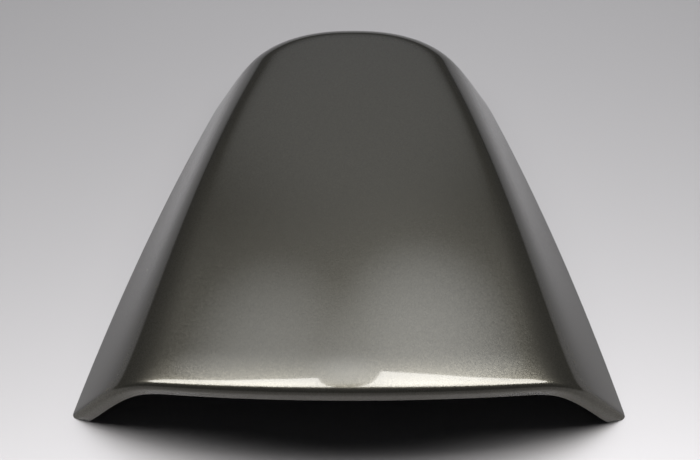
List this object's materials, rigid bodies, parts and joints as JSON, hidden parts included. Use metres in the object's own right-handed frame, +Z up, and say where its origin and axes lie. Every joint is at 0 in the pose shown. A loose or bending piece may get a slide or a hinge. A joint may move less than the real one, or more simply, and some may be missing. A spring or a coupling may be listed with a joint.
{
  "type": "motorbike seat cowl",
  "caption": "Tapered one-piece cowl that covers a motorbike's rear seat, with a rolled front lip, an open hollow underneath and bosses for a fixing plate.",
  "frame": {"origin": "on the surface that the rim rests on, under the middle of the outline", "axes": "+X across the cowl to the right seen from its open front, +Y from the front lip towards the tail, +Z up"},
  "size_m": [0.28, 0.3616, 0.0606],
  "materials": {
    "painted_shell": "dark grey metallic paint under clear lacquer"
  },
  "bodies": {
    "root": {"cowl_shell": "painted_shell"}
  },
  "joints": []
}
